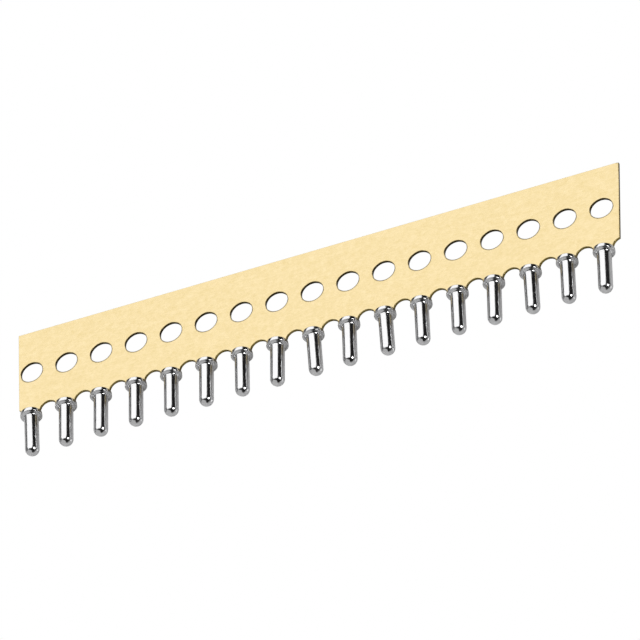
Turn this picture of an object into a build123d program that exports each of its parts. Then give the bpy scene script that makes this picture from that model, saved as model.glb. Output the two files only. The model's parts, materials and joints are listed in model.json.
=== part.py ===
from build123d import *
import math
import os

# A row of turned socket contacts, held at their pitch by a thin punched strip of brass sheet.
# It is drawn flat first: x runs along the row, y points from the contacts to the strip's
# straight edge, and y = 0 passes through the centres of the index holes. At the end the
# whole row is laid down on its collars and its straight edge, as it comes to rest on a table.
# Millimetres and degrees throughout.

# The row
contact_count = 17
pitch = 2.54

# Carrier strip
strip_thickness = 0.22
strip_above_holes = 3.40
strip_below_holes = 3.46
index_hole_r = 0.78
scallop_r = 0.60
left_end_past_hole = 0.14
right_end_past_hole = 0.47
left_end_slant = 1.5
right_end_slant = 2.1

# Tongues of the strip, one plugged into each socket
tongue_width = 0.36
tongue_length = 2.10
tongue_corner = 0.08
tongue_root = 0.15

# Turned sleeve of a contact, measured along its axis from the mouth
collar_r = 0.735
collar_thickness = 0.30
collar_edge = 0.03
collar_round = 0.07
collar_root_fillet = 0.18
tail_r = 0.48
tail_length = 3.22
mouth_r = 0.50
mouth_depth = 0.15
bore_r = 0.32
bore_depth = 2.80

# Spring clip pressed into the sleeve
clip_wall = 0.05
clip_ring_length = 0.45
finger_count = 4
finger_length = 1.35
finger_slot = 0.14
grip_clearance = 0.01

# How far each contact leans along the row, tip to the right being positive
contact_leans = [2.5, 1.0, 0.5, 0.5, 0.5, 0, 0.5, -0.5, 3.0, 0.5, 2.5, 1.0, 0.5, -0.5, 1.0, 0, -0.5]


def contact_x(index):
    """Where a contact and its index hole stand along the row."""
    return (index - (contact_count - 1) / 2) * pitch


def contact_place(index):
    """Frame of one contact: origin at the centre of its mouth, tail along -y.

    A leaning contact hangs a little lower, so that its collar only touches the corner of
    the tab above it.
    """
    lean = contact_leans[index % len(contact_leans)]
    tab_half_width = pitch / 2 - scallop_r
    seat_drop = tab_half_width * abs(math.sin(math.radians(lean)))
    return Pos(contact_x(index), -strip_below_holes) * Rot(Z=lean) * Pos(0, -seat_drop)


def strip_blank():
    """Outline of the strip before punching: its two ends are cut off a little slanted."""
    low, high = -strip_below_holes, strip_above_holes
    left_slope = math.tan(math.radians(left_end_slant))
    right_slope = math.tan(math.radians(right_end_slant))
    left = contact_x(0) - index_hole_r - left_end_past_hole
    right = contact_x(contact_count - 1) + index_hole_r + right_end_past_hole
    return Polygon(
        (left - low * left_slope, low),
        (right + low * right_slope, low),
        (right + high * right_slope, high),
        (left - high * left_slope, high),
        align=None,
    )


def tongue():
    """Flat tongue in a contact's frame, with a short root inside the tab and a blunt point."""
    half = tongue_width / 2
    return Polygon(
        (-half, tongue_root),
        (-half, tongue_corner - tongue_length),
        (tongue_corner - half, -tongue_length),
        (half - tongue_corner, -tongue_length),
        (half, tongue_corner - tongue_length),
        (half, tongue_root),
        align=None,
    )


def carrier_strip():
    """Punched strip: round index holes, half-round scallops between tabs, and tongues."""
    sheet = strip_blank()
    for gap in range(contact_count + 1):
        sheet -= Pos(contact_x(gap - 0.5), -strip_below_holes) * Circle(scallop_r)
    for index in range(contact_count):
        sheet -= Pos(contact_x(index), 0) * Circle(index_hole_r)
        sheet += contact_place(index) * tongue()
    return extrude(sheet, strip_thickness / 2, both=True)


def contact_sleeve():
    """One turned sleeve: open mouth in a round collar, plain tail, closed domed end."""
    tip = -(collar_thickness + tail_length)
    fillet_x = tail_r + collar_root_fillet
    fillet_foot = -(collar_thickness + collar_root_fillet)
    round_start = collar_round - collar_thickness
    section = Polyline(
        (0, tip),
        (0, -bore_depth),
        (bore_r, -bore_depth),
        (bore_r, -mouth_depth),
        (mouth_r, 0),
        (collar_r - collar_edge, 0),
        (collar_r, -collar_edge),
        (collar_r, round_start),
    )
    section += CenterArc((collar_r - collar_round, round_start), collar_round, -90, 90)
    section += Line((collar_r - collar_round, -collar_thickness), (fillet_x, -collar_thickness))
    section += CenterArc((fillet_x, fillet_foot), collar_root_fillet, 90, 90)
    section += Line((tail_r, fillet_foot), (tail_r, tip + tail_r))
    section += CenterArc((0, tip + tail_r), tail_r, -90, 90)
    return revolve(make_face(section.edges()), Axis.Y)


def spring_clip():
    """Clip inside a sleeve: a ring with slotted fingers that close on the tongue's corners."""
    grip_r = math.hypot(tongue_width, strip_thickness) / 2 + grip_clearance
    ring_end = -mouth_depth - clip_ring_length
    finger_end = ring_end - finger_length
    section = Polygon(
        (bore_r - clip_wall, -mouth_depth),
        (bore_r, -mouth_depth),
        (bore_r, ring_end),
        (grip_r + clip_wall, finger_end),
        (grip_r, finger_end),
        (bore_r - clip_wall, ring_end),
        align=None,
    )
    clip = revolve(section, Axis.Y)
    slot = Box(bore_r * 2, finger_length * 2, finger_slot)
    for turn in range(finger_count // 2):
        angle = 360 / finger_count * turn
        clip -= Pos(0, ring_end - finger_length) * Rot(Y=angle) * slot
    return clip


def flat_row():
    """Every piece of the row by name, drawn flat."""
    pieces = {"carrier_strip": carrier_strip()}
    sleeve = contact_sleeve()
    clip = spring_clip()
    for index in range(contact_count):
        place = contact_place(index)
        pieces[f"contact_sleeve_{index + 1:02d}"] = place * sleeve
        pieces[f"spring_clip_{index + 1:02d}"] = place * clip
    return pieces


def laid_down(pieces):
    """Tilt the row until collars and straight edge share one plane, which becomes z = 0."""
    run = strip_above_holes + strip_below_holes + collar_edge
    rise = collar_r - strip_thickness / 2
    tilt = Rot(X=-math.degrees(math.atan2(rise, run)))
    tilted = {name: tilt * piece for name, piece in pieces.items()}
    box = Compound(list(tilted.values())).bounding_box()
    home = Pos(-box.center().X, -box.center().Y, -box.min.Z)
    return {name: home * piece for name, piece in tilted.items()}


os.makedirs("parts", exist_ok=True)
for node, solid in laid_down(flat_row()).items():
    export_step(solid, f"parts/{node}.step")
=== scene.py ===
import json
import math

import bmesh
import bpy
from mathutils import Matrix, Vector


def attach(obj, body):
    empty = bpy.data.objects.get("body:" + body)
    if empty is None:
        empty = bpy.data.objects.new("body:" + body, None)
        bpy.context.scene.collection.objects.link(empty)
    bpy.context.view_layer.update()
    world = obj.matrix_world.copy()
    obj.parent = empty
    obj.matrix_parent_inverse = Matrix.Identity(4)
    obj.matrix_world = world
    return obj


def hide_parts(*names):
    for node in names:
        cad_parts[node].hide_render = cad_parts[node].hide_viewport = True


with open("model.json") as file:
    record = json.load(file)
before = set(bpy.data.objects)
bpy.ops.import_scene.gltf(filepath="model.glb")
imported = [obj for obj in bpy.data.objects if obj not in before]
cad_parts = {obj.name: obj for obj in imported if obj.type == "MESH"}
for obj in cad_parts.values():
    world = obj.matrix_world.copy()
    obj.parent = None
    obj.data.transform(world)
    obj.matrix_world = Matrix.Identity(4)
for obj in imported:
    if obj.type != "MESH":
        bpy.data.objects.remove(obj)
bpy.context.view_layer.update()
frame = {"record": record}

# A row of turned socket contacts on a punched brass carrier strip, lying on a pale floor.
# Sizes of the pieces are in millimetres and are scaled to metres as each piece is placed.
MM = 0.001

# The row
contact_count = 17
pitch = 2.54

# Carrier strip, drawn about the middle index hole
strip_thickness = 0.22
strip_above_holes = 3.40
strip_below_holes = 3.46
index_hole_r = 0.78
scallop_r = 0.60
left_end_past_hole = 0.14
right_end_past_hole = 0.47
left_end_slope = math.tan(math.radians(1.5))
right_end_slope = math.tan(math.radians(2.1))
hole_segments = 96
scallop_segments = 48
fewest_scallop_segments = 8

# Places of the strip's materials in its list
bright_face, outline_wall, hole_wall, end_wall = range(4)

# Tongues, one in each socket
tongue_half_width = 0.18
tongue_length = 2.10
tongue_corner = 0.08

# Punched edge: the die rolls the bright face over in a flattened quarter round, shears a wall and
# leaves the other face nearly sharp. What is slit off, not punched, is hardly rolled. The last
# steps of the roll are torn rather than rolled, and have the wall's finish.
half_sheet = strip_thickness / 2
roll_width = 0.128
roll_depth = 0.054
roll_power = 1.25
roll_steps = 8
bright_steps = 6
back_round = 0.012
back_round_steps = 2
full_roll = 1.0
slit_roll = 0.15
corner_run = 0.20

# Turned sleeve, measured along its axis from the mouth
collar_r = 0.735
collar_thickness = 0.30
collar_edge = 0.03
collar_taper = 0.02
collar_round = 0.07
collar_root_fillet = 0.18
tail_r = 0.48
tail_length = 3.22
mouth_r = 0.50
mouth_edge = 0.02
mouth_depth = 0.15
bore_r = 0.32
bore_depth = 2.80
turned_segments = 96
mouth_steps = 4
edge_steps = 6
round_steps = 10
fillet_steps = 14
tail_steps = 8
dome_steps = 24

# Spring clip inside the sleeve. Its ring is a little smaller than the bore and narrower still at
# the mouth. Its fingers bend in to the tongue and flare slightly at their ends.
clip_wall = 0.05
clip_clearance = 0.003
lead_in = 0.006
lead_in_length = 0.02
clip_ring_length = 0.45
finger_length = 1.35
finger_count = 4
finger_slot = 0.14
finger_grip_r = 0.221
finger_steps = 10
bent_share = 0.85
finger_flare = 0.10
clip_segments = 96
seam_step = 12

# Corners sharper than this stay sharp between smooth faces
sharp_corner = math.radians(40)

# Camera, fitted to the index holes, the collars and the tips in the photograph
camera_lens = 337.353
camera_sensor = 36
camera_near = 0.01
camera_far = 20
camera_place = (0.11686650, -0.22350169, 0.30000033)
camera_right = (0.91762779, -0.04977140, -0.39431213)
camera_up = (0.26279899, 0.82026398, 0.50803907)

# Span in which most of a noise's values lie
noise_span = (0.3, 0.7)

# Studio. Each lamp is (middle, point it faces, width, height, brightness of its face), in metres.
# A tilted softbox hangs over the back and the left, a white card stands at the front left, a
# grey wall at the left, and a small lamp at the right. What they leave open is nearly dark.
lamps = {
    "softbox": ((-0.270, 0.350, 0.640), (-0.270, -0.020, -0.260), 1.144, 1.103, 1.15),
    "white_card": ((-0.74, -0.94, 0.70), (0.0, 0.0, 0.70), 1.85, 1.40, 0.45),
    "grey_wall": ((-1.40, 0.42, 0.55), (0.0, 0.42, 0.55), 1.60, 1.10, 0.13),
    "small_lamp": ((0.824, -0.213, 0.524), (0.0, 0.0, 0.0), 0.37, 0.37, 6.0),
}

# Cards at the front, the right, the back and the left that light the strip alone. It looks like
# brass from every side, while the dark surround still draws the dark band down each sleeve.
strip_cards = {
    "front_card": ((0.35, -0.85, 0.95), (0.0, 0.0, 0.0), 2.00, 1.50, 0.55),
    "right_card": ((1.15, 0.80, 0.45), (0.0, 0.0, 0.45), 1.90, 0.90, 0.60),
    "back_card": ((-0.10, 1.40, 0.33), (-0.10, 0.0, 0.33), 1.90, 0.60, 0.40),
    "left_card": ((-1.15, 0.35, 0.45), (0.0, 0.35, 0.45), 1.90, 0.90, 0.25),
}
floor_half_size = 4.0
floor_tone = 0.75
floor_glow = 0.04
floor_gloss = 0.08
surround_tone = 0.012
white = (1, 1, 1, 1)

mounts = {mount["name"]: mount for mount in frame["record"]["mounts"]}


# Places of the pieces, and the drawing that they share


def frame_of(x_axis, y_axis, origin):
    """Placing matrix for a piece drawn in millimetres."""
    z_axis = x_axis.cross(y_axis)
    turn = Matrix((x_axis, y_axis, z_axis)).transposed().to_4x4()
    return Matrix.Translation(origin) @ turn @ Matrix.Scale(MM, 4)


def sheet_normal():
    """Direction out of the strip's bright face."""
    return Vector(mounts["index_hole_01"]["axis"]).normalized()


def strip_place():
    """The strip's frame: origin in the middle index hole, x along the row, z out of its bright face."""
    first = Vector(mounts["index_hole_01"]["pos_m"])
    last = Vector(mounts[f"index_hole_{contact_count:02d}"]["pos_m"])
    along = (last - first).normalized()
    across = sheet_normal().cross(along)
    return frame_of(along, across, (first + last) / 2)


def contact_place(index):
    """A contact's frame: origin at the centre of its mouth, tail along -y, z out of the bright face."""
    mount = mounts[f"contact_tail_{index + 1:02d}"]
    to_tip = Vector(mount["axis"]).normalized()
    straight = mount["dims"]["length_mm"]
    to_middle = collar_thickness + collar_root_fillet + straight / 2
    mouth = Vector(mount["pos_m"]) - to_tip * to_middle * MM
    across = (-to_tip).cross(sheet_normal()).normalized()
    return frame_of(across, -to_tip, mouth)


def new_piece(name, bm, place, materials):
    """Make a drawn mesh into a piece at its place, with its smooth faces parted at sharp corners."""
    mesh = bpy.data.meshes.new(name)
    bmesh.ops.recalc_face_normals(bm, faces=bm.faces)
    bm.to_mesh(mesh)
    bm.free()
    mesh.transform(place)
    smooth = [face.use_smooth for face in mesh.polygons]
    mesh.set_sharp_from_angle(angle=sharp_corner)
    mesh.polygons.foreach_set("use_smooth", smooth)
    for material in materials:
        mesh.materials.append(material)
    piece = bpy.data.objects.new(name, mesh)
    bpy.context.scene.collection.objects.link(piece)
    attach(piece, "root")
    return piece


def arc(centre, radius, start, end, steps):
    """Points of an arc from one angle to the other, both ends included, in degrees."""
    points = []
    for step in range(steps + 1):
        angle = math.radians(start + (end - start) * step / steps)
        points.append((centre[0] + radius * math.cos(angle), centre[1] + radius * math.sin(angle)))
    return points


# Carrier strip


def contact_x(index):
    """Where a contact stands along the row. Half numbers are the scallops between contacts."""
    return (index - (contact_count - 1) / 2) * pitch


def end_crossing(centre_x, end_x, slope):
    """Angle at which a slanted strip end, x = end_x + slope * y, leaves the half scallop there."""
    low = -strip_below_holes
    foot = end_x + slope * low - centre_x
    # The end meets the scallop's circle at the rise that solves a * rise**2 + 2 * b * rise + c = 0
    a = 1 + slope * slope
    b = foot * slope
    c = foot * foot - scallop_r * scallop_r
    rise = (-b + math.sqrt(b * b - a * c)) / a
    return math.degrees(math.atan2(rise, foot + slope * rise))


def tongue_outline(index):
    """The tongue of one contact, from the tab's edge on its left side to the tab's edge on its right."""
    to_strip = strip_place().inverted() @ contact_place(index)
    tip = tongue_corner - tongue_length
    sides = []
    for side in (-tongue_half_width, tongue_half_width):
        top = to_strip @ Vector((side, 0, 0))
        down = to_strip @ Vector((side, -1, 0)) - top
        reach = (-strip_below_holes - top.y) / down.y
        sides.append((side, -reach))
    inner = [
        (-tongue_half_width, tip),
        (tongue_corner - tongue_half_width, -tongue_length),
        (tongue_half_width - tongue_corner, -tongue_length),
        (tongue_half_width, tip),
    ]
    corners = [sides[0]] + inner + [sides[1]]
    placed = [to_strip @ Vector((x, y, 0)) for x, y in corners]
    return [(point.x, point.y) for point in placed]


def strip_outline():
    """Outer edge of the strip, counterclockwise from the left end's top corner.

    Each entry is (point, share of the full roll, wall material of the edge that leads to it).
    """
    low = -strip_below_holes
    high = strip_above_holes
    left = contact_x(0) - index_hole_r - left_end_past_hole
    right = contact_x(contact_count - 1) + index_hole_r + right_end_past_hole
    left_corner = (left - left_end_slope * high, high)
    right_corner = (right + right_end_slope * high, high)
    points = []
    for gap in range(contact_count + 1):
        centre_x = contact_x(gap - 0.5)
        start, end = 180, 0
        if gap == 0:
            start = end_crossing(centre_x, left, -left_end_slope)
        if gap == contact_count:
            end = end_crossing(centre_x, right, right_end_slope)
        steps = max(round(scallop_segments * (start - end) / 180), fewest_scallop_segments)
        points += arc((centre_x, low), scallop_r, start, end, steps)
        if gap < contact_count:
            points += tongue_outline(gap)
    rim = [(left_corner, slit_roll, outline_wall), (points[0], slit_roll, outline_wall)]
    rim += [(point, full_roll, outline_wall) for point in points[1:]]
    rim.append((right_corner, full_roll, end_wall))
    rim.append(((right_corner[0] - corner_run, high), slit_roll, outline_wall))
    return rim


def hole_rim(index):
    """Edge of one index hole, clockwise, in the same form as the outline."""
    ring = arc((contact_x(index), 0), index_hole_r, 360, 0, hole_segments)
    return [(point, full_roll, hole_wall) for point in ring[:-1]]


def inward_steps(points):
    """For each corner of a counterclockwise outline, the move that insets both its edges by one."""
    moves = []
    for index, point in enumerate(points):
        before = Vector(point) - Vector(points[index - 1])
        after = Vector(points[(index + 1) % len(points)]) - Vector(point)
        before.normalize()
        after.normalize()
        normal_before = Vector((-before.y, before.x))
        normal_after = Vector((-after.y, after.x))
        both = normal_before + normal_after
        moves.append(both * 2 / both.length_squared)
    return moves


def punched_edge():
    """Section of the punched edge: (inset from the outline, height above the middle of the sheet)."""
    rows = []
    for step in range(roll_steps + 1):
        angle = math.radians(90 * step / roll_steps)
        inset = roll_width * (1 - math.sin(angle) ** roll_power)
        drop = roll_depth * (1 - math.cos(angle) ** roll_power)
        rows.append((inset, half_sheet - drop))
    return rows + arc((back_round, back_round - half_sheet), back_round, 180, 270, back_round_steps)


def edge_rings(bm, rim):
    """Sweep the punched edge along a rim. Returns the edges of its top and bottom rings."""
    moves = inward_steps([point for point, _, _ in rim])
    rings = []
    for inset, height in punched_edge():
        ring = []
        for (point, roll, _), move in zip(rim, moves):
            x, y = Vector(point) + move * inset * roll
            drop = (half_sheet - height) * roll if height > 0 else half_sheet - height
            ring.append(bm.verts.new((x, y, half_sheet - drop)))
        rings.append(ring)
    for row, (upper, lower) in enumerate(zip(rings, rings[1:])):
        for index, (_, _, wall) in enumerate(rim):
            corners = (upper[index - 1], upper[index], lower[index], lower[index - 1])
            face = bm.faces.new(corners)
            face.smooth = True
            face.material_index = bright_face if row < bright_steps else wall
    top = [bm.edges.get((rings[0][i - 1], rings[0][i])) for i in range(len(rim))]
    bottom = [bm.edges.get((rings[-1][i - 1], rings[-1][i])) for i in range(len(rim))]
    return top, bottom


def punched_strip(materials):
    """The carrier strip: one sheet with rolled and sheared edges at its outline and its holes."""
    bm = bmesh.new()
    tops, bottoms = edge_rings(bm, strip_outline())
    for index in range(contact_count):
        top, bottom = edge_rings(bm, hole_rim(index))
        tops += top
        bottoms += bottom
    for edges in (tops, bottoms):
        filled = bmesh.ops.triangle_fill(bm, use_beauty=True, edges=edges)
        for item in filled["geom"]:
            if isinstance(item, bmesh.types.BMFace):
                item.smooth = False
    return new_piece("punched_strip", bm, strip_place(), materials)


# Turned sleeves


def sleeve_profile():
    """Section of the sleeve as (radius, depth): bore, mouth, collar, tail and domed tip."""
    tip = collar_thickness + tail_length
    straight_start = collar_thickness + collar_root_fillet
    straight_end = tip - tail_r
    lip = (mouth_r + mouth_edge, mouth_edge)
    edge = (collar_r - collar_taper - collar_edge, collar_edge)
    under_round = (collar_r - collar_round, collar_thickness - collar_round)
    fillet = (tail_r + collar_root_fillet, straight_start)
    points = [(0, bore_depth), (bore_r / 2, bore_depth), (bore_r, bore_depth)]
    points += [(bore_r, bore_depth / 2), (bore_r, mouth_depth)]
    points += arc(lip, mouth_edge, 225, 270, mouth_steps)
    points += arc(edge, collar_edge, -90, 0, edge_steps)
    points += arc(under_round, collar_round, 0, 90, round_steps)
    points += arc(fillet, collar_root_fillet, 270, 180, fillet_steps)
    for step in range(1, tail_steps):
        depth = straight_start + (straight_end - straight_start) * step / tail_steps
        points.append((tail_r, depth))
    points += arc((0, straight_end), tail_r, 0, 90, dome_steps)
    points[-1] = (0, tip)
    return points


def path_lengths(profile):
    """Distance along a section at each of its points."""
    lengths = [0.0]
    for before, after in zip(profile, profile[1:]):
        lengths.append(lengths[-1] + math.dist(before, after))
    return lengths


def vertex_ring(bm, radius, depth, count, way):
    """Vertices round the y axis at one depth. Each keeps its way along the section as tool_path."""
    path = bm.verts.layers.float["tool_path"]
    ring = []
    for step in range(count):
        angle = 2 * math.pi * step / count
        vert = bm.verts.new((radius * math.cos(angle), -depth, radius * math.sin(angle)))
        vert[path] = way
        ring.append(vert)
    return ring


def turned_sleeve(index, materials):
    """One sleeve, turned about the y axis in one piece."""
    bm = bmesh.new()
    bm.verts.layers.float.new("tool_path")
    profile = sleeve_profile()
    rings = []
    for (radius, depth), way in zip(profile, path_lengths(profile)):
        count = turned_segments if radius > 0 else 1
        rings.append(vertex_ring(bm, radius, depth, count, way))
    for ring, following in zip(rings, rings[1:]):
        for step in range(turned_segments):
            here = [ring[step - 1], ring[step]] if len(ring) > 1 else ring
            there = [following[step], following[step - 1]] if len(following) > 1 else following
            bm.faces.new(here + there).smooth = True
    name = f"turned_sleeve_{index + 1:02d}"
    return new_piece(name, bm, contact_place(index), materials)


# Spring clips


def clip_section():
    """The clip's outer side from the mouth inwards, as rows of (radius, depth, in a finger)."""
    seat_r = bore_r - clip_clearance
    ring_end = mouth_depth + clip_ring_length
    grip_out = finger_grip_r + clip_wall
    rows = [(seat_r - lead_in, mouth_depth, False), (seat_r, mouth_depth + lead_in_length, False)]
    rows += [(seat_r, mouth_depth + clip_ring_length / 2, False), (seat_r, ring_end, False)]
    for step in range(1, finger_steps + 1):
        share = step / finger_steps
        bend = math.sin(min(share / bent_share, 1) * math.pi / 2)
        flare = max(share - bent_share, 0) * finger_flare
        radius = seat_r + (grip_out - seat_r) * bend + flare
        rows.append((radius, ring_end + finger_length * share, True))
    return rows


def slot_steps():
    """Steps round the clip that lie in the slots between its fingers."""
    half_angle = math.asin(finger_slot / 2 / finger_grip_r)
    finger_turn = 2 * math.pi / finger_count
    steps = set()
    for step in range(clip_segments):
        middle = 2 * math.pi * (step + 0.5) / clip_segments
        off = (middle + finger_turn / 2) % finger_turn - finger_turn / 2
        if abs(off) < half_angle:
            steps.add(step)
    return steps


def clip_cells(rows):
    """Cells of the clip's wall as (row, step), without those in its seam and its slots."""
    slots = slot_steps()
    cells = []
    for row, (_, _, in_finger) in enumerate(rows[1:]):
        left_open = slots if in_finger else {seam_step}
        cells += [(row, step) for step in range(clip_segments) if step not in left_open]
    return cells


def clip_faces(outer, inner, cells):
    """Both sides of each cell of the clip's wall, and an edge wherever no other cell is beside it."""
    filled = set(cells)
    shared_corners = [(3, 0), (1, 2), (0, 1), (2, 3)]
    faces = []
    for row, step in cells:
        before = (step - 1) % clip_segments
        after = (step + 1) % clip_segments
        corners = [(row, step), (row, after), (row + 1, after), (row + 1, step)]
        outside = [outer[r][s] for r, s in corners]
        inside = [inner[r][s] for r, s in corners]
        faces += [outside, inside[::-1]]
        beside = [(row, before), (row, after), (row - 1, step), (row + 1, step)]
        for cell, (start, end) in zip(beside, shared_corners):
            if cell not in filled:
                faces.append([inside[end], outside[end], outside[start], inside[start]])
    return faces


def spring_clip(index, materials):
    """Formed clip: a ring with a seam, and four fingers that bend in to the corners of the tongue."""
    bm = bmesh.new()
    bm.verts.layers.float.new("tool_path")
    rows = clip_section()
    outer, inner = [], []
    for radius, depth, _ in rows:
        outer.append(vertex_ring(bm, radius, depth, clip_segments, depth))
        inner.append(vertex_ring(bm, radius - clip_wall, depth, clip_segments, depth))
    for corners in clip_faces(outer, inner, clip_cells(rows)):
        bm.faces.new(corners).smooth = True
    loose = [vert for vert in bm.verts if not vert.link_faces]
    bmesh.ops.delete(bm, geom=loose, context="VERTS")
    return new_piece(f"formed_clip_{index + 1:02d}", bm, contact_place(index), materials)


# Shader nodes


def node(tree, kind, **settings):
    """A new shader node with its own settings, such as its operation."""
    made = tree.nodes.new(kind)
    for name, value in settings.items():
        setattr(made, name, value)
    return made


def set_inputs(made, **values):
    """Give a node's inputs their values. An underscore stands for a space in an input's name."""
    for name, value in values.items():
        made.inputs[name.replace("_", " ")].default_value = value


def math_node(tree, operation, *values):
    """Output of a Math node whose inputs are numbers or other nodes' outputs."""
    made = node(tree, "ShaderNodeMath", operation=operation)
    for slot, value in enumerate(values):
        if isinstance(value, bpy.types.NodeSocket):
            tree.links.new(value, made.inputs[slot])
        else:
            made.inputs[slot].default_value = value
    return made.outputs[0]


def ranged(tree, value, low, high, span=(0.0, 1.0)):
    """A value's own span, stretched or shrunk to run from low to high."""
    made = node(tree, "ShaderNodeMapRange")
    set_inputs(made, From_Min=span[0], From_Max=span[1], To_Min=low, To_Max=high)
    tree.links.new(value, made.inputs["Value"])
    return made.outputs[0]


def blend_colours(tree, factor, low, high):
    """A colour between two, by a varying factor."""
    mix = node(tree, "ShaderNodeMix", data_type="RGBA")
    set_inputs(mix, A=(*low, 1), B=(*high, 1))
    tree.links.new(factor, mix.inputs["Factor"])
    return mix.outputs["Result"]


def placed_group(tree, group, **values):
    """A node group placed in a material with its own values."""
    made = node(tree, "ShaderNodeGroup", node_tree=group)
    set_inputs(made, **values)
    return made


def new_group(name, inputs, outputs):
    """An empty node group with float inputs, given with their defaults, and named float outputs."""
    group = bpy.data.node_groups.new(name, "ShaderNodeTree")
    sockets = group.interface
    for socket_name, value in inputs.items():
        socket = sockets.new_socket(name=socket_name, in_out="INPUT", socket_type="NodeSocketFloat")
        socket.default_value = value
    for socket_name in outputs:
        sockets.new_socket(name=socket_name, in_out="OUTPUT", socket_type="NodeSocketFloat")
    return group, group.nodes.new("NodeGroupInput"), group.nodes.new("NodeGroupOutput")


def stretched_noise(tree, vector, detail, roughness):
    """A noise read at a vector that is already in noise units."""
    made = node(tree, "ShaderNodeTexNoise")
    set_inputs(made, Scale=1.0, Detail=detail, Roughness=roughness)
    tree.links.new(vector, made.inputs["Vector"])
    return made.outputs["Fac"]


def rolled_grain_group():
    """Grain of rolled sheet, as two values from 0 to 1 about 0.5.

    Streaks has Along and Across of them per millimetre, each way. Mottle has soft patches, Patches
    of them per millimetre, with finer ones inside.
    """
    group, given, out = new_group(
        "rolled grain", {"Along": 1.5, "Across": 14.0, "Patches": 0.25}, ["Streaks", "Mottle"]
    )
    place = node(group, "ShaderNodeTexCoord")
    parts = node(group, "ShaderNodeSeparateXYZ")
    group.links.new(place.outputs["Object"], parts.inputs[0])
    along = math_node(group, "MULTIPLY", given.outputs["Along"], 1 / MM)
    across = math_node(group, "MULTIPLY", given.outputs["Across"], 1 / MM)
    patches = math_node(group, "MULTIPLY", given.outputs["Patches"], 1 / MM)
    streak = node(group, "ShaderNodeCombineXYZ")
    patch = node(group, "ShaderNodeCombineXYZ")
    for axis, scale in zip("XYZ", (along, across, across)):
        group.links.new(math_node(group, "MULTIPLY", parts.outputs[axis], scale), streak.inputs[axis])
        group.links.new(math_node(group, "MULTIPLY", parts.outputs[axis], patches), patch.inputs[axis])
    streaks = stretched_noise(group, streak.outputs[0], detail=4.0, roughness=0.6)
    mottle = stretched_noise(group, patch.outputs[0], detail=4.0, roughness=0.85)
    group.links.new(streaks, out.inputs["Streaks"])
    group.links.new(mottle, out.inputs["Mottle"])
    return group


def turning_marks_group():
    """Fine rings left by the turning tool along each turned section, and a soft haze over them."""
    group, given, out = new_group("turning marks", {"Rings per mm": 30.0}, ["Rings", "Haze"])
    path = node(group, "ShaderNodeAttribute", attribute_name="tool_path")
    ring_place = math_node(group, "MULTIPLY", path.outputs["Fac"], given.outputs["Rings per mm"])
    rings = node(group, "ShaderNodeTexNoise", noise_dimensions="1D")
    set_inputs(rings, Scale=1.0, Detail=2.0, Roughness=0.6)
    group.links.new(ring_place, rings.inputs["W"])
    place = node(group, "ShaderNodeTexCoord")
    haze = node(group, "ShaderNodeTexNoise")
    set_inputs(haze, Scale=1.2 / MM, Detail=3.0, Roughness=0.55)
    group.links.new(place.outputs["Object"], haze.inputs["Vector"])
    group.links.new(rings.outputs["Fac"], out.inputs["Rings"])
    group.links.new(haze.outputs["Fac"], out.inputs["Haze"])
    return group


# Materials


def new_material(name):
    """A material with nothing but its output node."""
    material = bpy.data.materials.new(name)
    material.use_nodes = True
    tree = material.node_tree
    tree.nodes.clear()
    return material, tree, node(tree, "ShaderNodeOutputMaterial")


def new_metal(name):
    """A metal whose finish is still to be wired to its surface."""
    material, tree, out = new_material(name)
    surface = node(tree, "ShaderNodeBsdfPrincipled")
    surface.inputs["Metallic"].default_value = 1.0
    tree.links.new(surface.outputs[0], out.inputs["Surface"])
    return material, tree, surface


def wire_finish(tree, surface, colour, roughness, relief, relief_mm):
    """Wire a metal's colour, roughness and relief to its surface. The relief has a depth in mm."""
    bump = node(tree, "ShaderNodeBump")
    set_inputs(bump, Distance=relief_mm * MM)
    tree.links.new(relief, bump.inputs["Height"])
    tree.links.new(colour, surface.inputs["Base Color"])
    tree.links.new(roughness, surface.inputs["Roughness"])
    tree.links.new(bump.outputs[0], surface.inputs["Normal"])


def brass_face(grain):
    """Bright rolled face of the strip: pale gold, finely mottled, with faint streaks along the row."""
    deep_gold = (0.766, 0.606, 0.296)
    pale_gold = (0.906, 0.746, 0.446)
    streak_share = 0.3
    material, tree, surface = new_metal("rolled_brass_face")
    marks = placed_group(tree, grain, Along=2.5, Across=8.0, Patches=2.2)
    streaks, mottle = marks.outputs["Streaks"], marks.outputs["Mottle"]
    shade = math_node(tree, "MULTIPLY", streaks, streak_share)
    shade = math_node(tree, "MULTIPLY_ADD", mottle, 1 - streak_share, shade)
    shade = ranged(tree, shade, low=0.0, high=1.0, span=noise_span)
    colour = blend_colours(tree, shade, deep_gold, pale_gold)
    roughness = ranged(tree, streaks, low=0.15, high=0.23)
    wire_finish(tree, surface, colour, roughness, relief=mottle, relief_mm=0.0006)
    return material


def brass_edge(name, grain, dark, light):
    """A sheared wall of the strip: darker, duller brass with the marks of the punch. The outline's and
    the holes' walls are darkened partly as painted shade, the holes' most.
    """
    material, tree, surface = new_metal(name)
    marks = placed_group(tree, grain, Along=16.0, Across=5.0, Patches=1.5)
    streaks, mottle = marks.outputs["Streaks"], marks.outputs["Mottle"]
    shade = ranged(tree, streaks, low=0.0, high=1.0, span=noise_span)
    colour = blend_colours(tree, shade, dark, light)
    roughness = ranged(tree, mottle, low=0.30, high=0.50)
    wire_finish(tree, surface, colour, roughness, relief=streaks, relief_mm=0.004)
    return material


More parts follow.
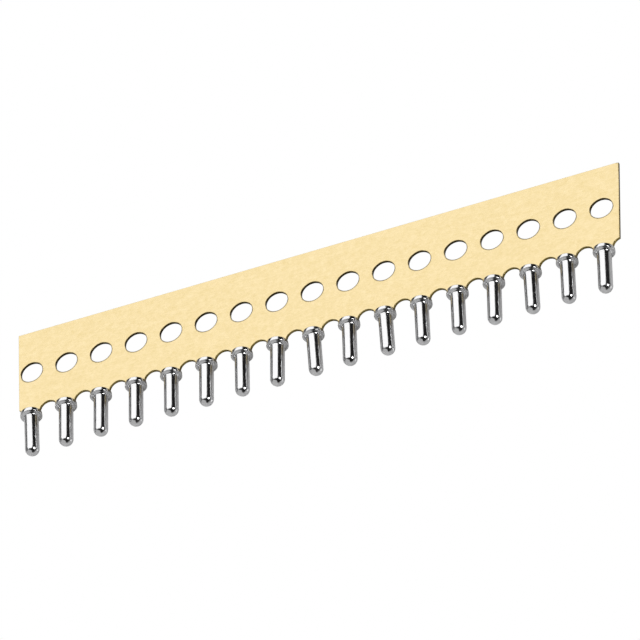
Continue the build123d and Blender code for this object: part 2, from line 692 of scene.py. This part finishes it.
def strip_materials(grain):
    """The strip's materials, in the order of their places."""
    return [
        brass_face(grain),
        # The outline's walls are darker partly as duller sheared brass and partly as painted shade for
        # the shadow they lie in
        brass_edge("sheared_outline_and_painted_shade", grain, (0.29, 0.22, 0.055), (0.46, 0.355, 0.11)),
        # The holes' walls get a far darker colour: painted shade for the shade inside the holes and the
        # shadowed floor seen through them
        brass_edge("sheared_hole_painted_shade", grain, (0.045, 0.032, 0.009), (0.09, 0.068, 0.022)),
        brass_edge("sheared_end", grain, (0.15, 0.105, 0.025), (0.25, 0.185, 0.05)),
    ]


def bright_plating(turning_marks):
    """Bright plating over the turned sleeves, slightly hazy."""
    dull_silver = (0.80, 0.80, 0.81)
    bright_silver = (0.90, 0.90, 0.905)
    material, tree, surface = new_metal("bright_plating")
    marks = placed_group(tree, turning_marks, Rings_per_mm=28.0)
    rings, haze = marks.outputs["Rings"], marks.outputs["Haze"]
    colour = blend_colours(tree, haze, dull_silver, bright_silver)
    roughness = ranged(tree, haze, low=0.12, high=0.20, span=noise_span)
    wire_finish(tree, surface, colour, roughness, relief=rings, relief_mm=0.0003)
    return material


def gilt_spring(turning_marks):
    """Thin gilding over the spring clips."""
    deep_gilt = (0.84, 0.60, 0.24)
    pale_gilt = (0.95, 0.74, 0.36)
    material, tree, surface = new_metal("gilt_spring")
    marks = placed_group(tree, turning_marks, Rings_per_mm=12.0)
    rings, haze = marks.outputs["Rings"], marks.outputs["Haze"]
    colour = blend_colours(tree, haze, deep_gilt, pale_gilt)
    roughness = ranged(tree, haze, low=0.18, high=0.32, span=noise_span)
    wire_finish(tree, surface, colour, roughness, relief=rings, relief_mm=0.0005)
    return material


# Studio


def floor_material():
    """The camera sees the floor evenly lit, and the metal mirrors it as the lamps light it."""
    material, tree, out = new_material("pale_floor")
    lit = node(tree, "ShaderNodeBsdfPrincipled")
    set_inputs(lit, Base_Color=(floor_tone, floor_tone, floor_tone, 1), Roughness=floor_gloss)
    set_inputs(lit, Emission_Color=white, Emission_Strength=floor_glow)
    even = node(tree, "ShaderNodeEmission")
    path = node(tree, "ShaderNodeLightPath")
    seen = node(tree, "ShaderNodeMixShader")
    tree.links.new(path.outputs["Is Camera Ray"], seen.inputs[0])
    tree.links.new(lit.outputs[0], seen.inputs[1])
    tree.links.new(even.outputs[0], seen.inputs[2])
    tree.links.new(seen.outputs[0], out.inputs["Surface"])
    return material


def pale_floor():
    """Wide floor under the row."""
    far = floor_half_size
    corners = [(-far, -far, 0), (far, -far, 0), (far, far, 0), (-far, far, 0)]
    mesh = bpy.data.meshes.new("floor")
    mesh.from_pydata(corners, [], [(0, 1, 2, 3)])
    mesh.materials.append(floor_material())
    floor = bpy.data.objects.new("floor", mesh)
    bpy.context.scene.collection.objects.link(floor)


def area_lamp(name, place, toward, width, height, radiance):
    """Soft lamp that faces a point. Its power follows from its size and the brightness of its face."""
    data = bpy.data.lights.new(name, "AREA")
    data.shape = "RECTANGLE"
    data.size = width
    data.size_y = height
    data.energy = radiance * math.pi * width * height
    lamp = bpy.data.objects.new(name, data)
    lamp.location = place
    lamp.rotation_euler = (Vector(toward) - Vector(place)).to_track_quat("-Z", "Y").to_euler()
    lamp.visible_camera = False
    bpy.context.scene.collection.objects.link(lamp)
    return lamp


def surround():
    """The camera sees a white surround, and the metal mirrors a nearly dark one."""
    world = bpy.data.worlds.new("surround")
    world.use_nodes = True
    tree = world.node_tree
    tree.nodes.clear()
    path = node(tree, "ShaderNodeLightPath")
    tone = ranged(tree, path.outputs["Is Camera Ray"], low=surround_tone, high=1.0)
    back = node(tree, "ShaderNodeBackground")
    set_inputs(back, Color=white)
    out = node(tree, "ShaderNodeOutputWorld")
    tree.links.new(tone, back.inputs["Strength"])
    tree.links.new(back.outputs[0], out.inputs["Surface"])
    bpy.context.scene.world = world


def studio(strip):
    """Floor, lamps, the cards that light the strip alone, and the surround."""
    pale_floor()
    for name, lamp in lamps.items():
        area_lamp(name, *lamp)
    strip_alone = bpy.data.collections.new("lit_by_strip_cards")
    strip_alone.objects.link(strip)
    for name, card in strip_cards.items():
        area_lamp(name, *card).light_linking.receiver_collection = strip_alone
    surround()
    bpy.context.scene.view_settings.view_transform = "Standard"


def camera():
    """The photograph's viewpoint, as a camera without shift or depth of field."""
    data = bpy.data.cameras.new("camera")
    data.lens = camera_lens
    data.sensor_width = camera_sensor
    data.clip_start = camera_near
    data.clip_end = camera_far
    made = bpy.data.objects.new("camera", data)
    right = Vector(camera_right)
    up = Vector(camera_up)
    turn = Matrix((right, up, right.cross(up))).transposed().to_4x4()
    made.matrix_world = Matrix.Translation(camera_place) @ turn
    bpy.context.scene.collection.objects.link(made)
    bpy.context.scene.camera = made


def build():
    """Every piece of the row, each in place of its solid. Returns the strip."""
    marks = turning_marks_group()
    plating = bright_plating(marks)
    gilt = gilt_spring(marks)
    strip = punched_strip(strip_materials(rolled_grain_group()))
    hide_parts("carrier_strip")
    for index in range(contact_count):
        sleeve = turned_sleeve(index, [plating])
        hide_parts(f"contact_sleeve_{index + 1:02d}")
        clip = spring_clip(index, [gilt])
        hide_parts(f"spring_clip_{index + 1:02d}")
    return strip


studio(build())
camera()
